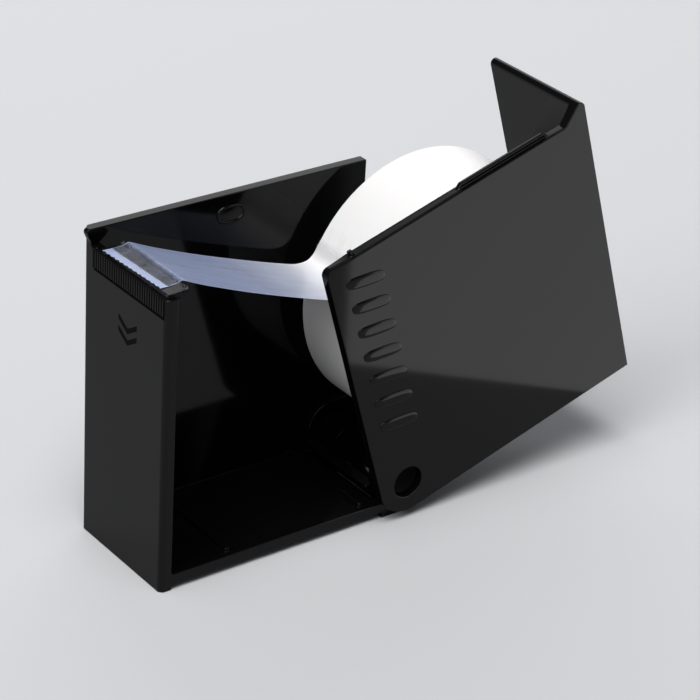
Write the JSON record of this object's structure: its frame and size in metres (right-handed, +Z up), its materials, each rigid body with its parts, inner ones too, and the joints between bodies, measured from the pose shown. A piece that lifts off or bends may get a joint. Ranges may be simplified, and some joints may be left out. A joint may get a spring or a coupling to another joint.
{
  "type": "tape dispenser",
  "caption": "Two-part box tape dispenser: a base and a hinged cover that carries the tape roll, with a clear toothed cutter.",
  "frame": {"origin": "centre of the non-slip pad's underside, on the surface the dispenser stands on", "axes": "+X from the cutter end to the hinge end, +Y across the dispenser to its far wall, +Z up; the cover is stored swung open"},
  "size_m": [0.1187, 0.032, 0.0854],
  "materials": {
    "gloss_black": "polished black moulding",
    "satin_black": "satin black moulding",
    "clear_plastic": "clear styrene",
    "steel": "zinc-plated",
    "pad_rubber": "matt",
    "tape_film": "milky film",
    "tape_roll": "wound white film",
    "card": "wound card",
    "felt": "pressed felt"
  },
  "bodies": {
    "base": {"base_shell": "gloss_black", "finger_grip": "satin_black", "cutter_bar": "clear_plastic", "ballast_plate": "steel", "non_slip_pad": "pad_rubber", "hinge_pin_near": "satin_black", "hinge_pin_far": "satin_black", "tape_lead": "tape_film"},
    "cover": {"cover_shell": "gloss_black", "hub_spindle": "satin_black", "drag_washer": "felt", "hub_washer": "steel", "retainer_screw": "steel"},
    "roll": {"core_wheel": "satin_black", "tape_core": "card", "tape_winding": "tape_roll"}
  },
  "joints": [
    {"name": "cover_hinge", "type": "hinge", "parent": "base", "child": "cover", "pos_m": [0.0259, 0, 0.0087], "axis": [0, 1, 0], "range_deg": [-72.67, 0], "deforming": ["tape_lead"]},
    {"name": "roll_spin", "type": "hinge", "parent": "cover", "child": "roll", "pos_m": [0.0443, 0, 0.04105], "axis": [0, 1, 0], "continuous": true}
  ]
}
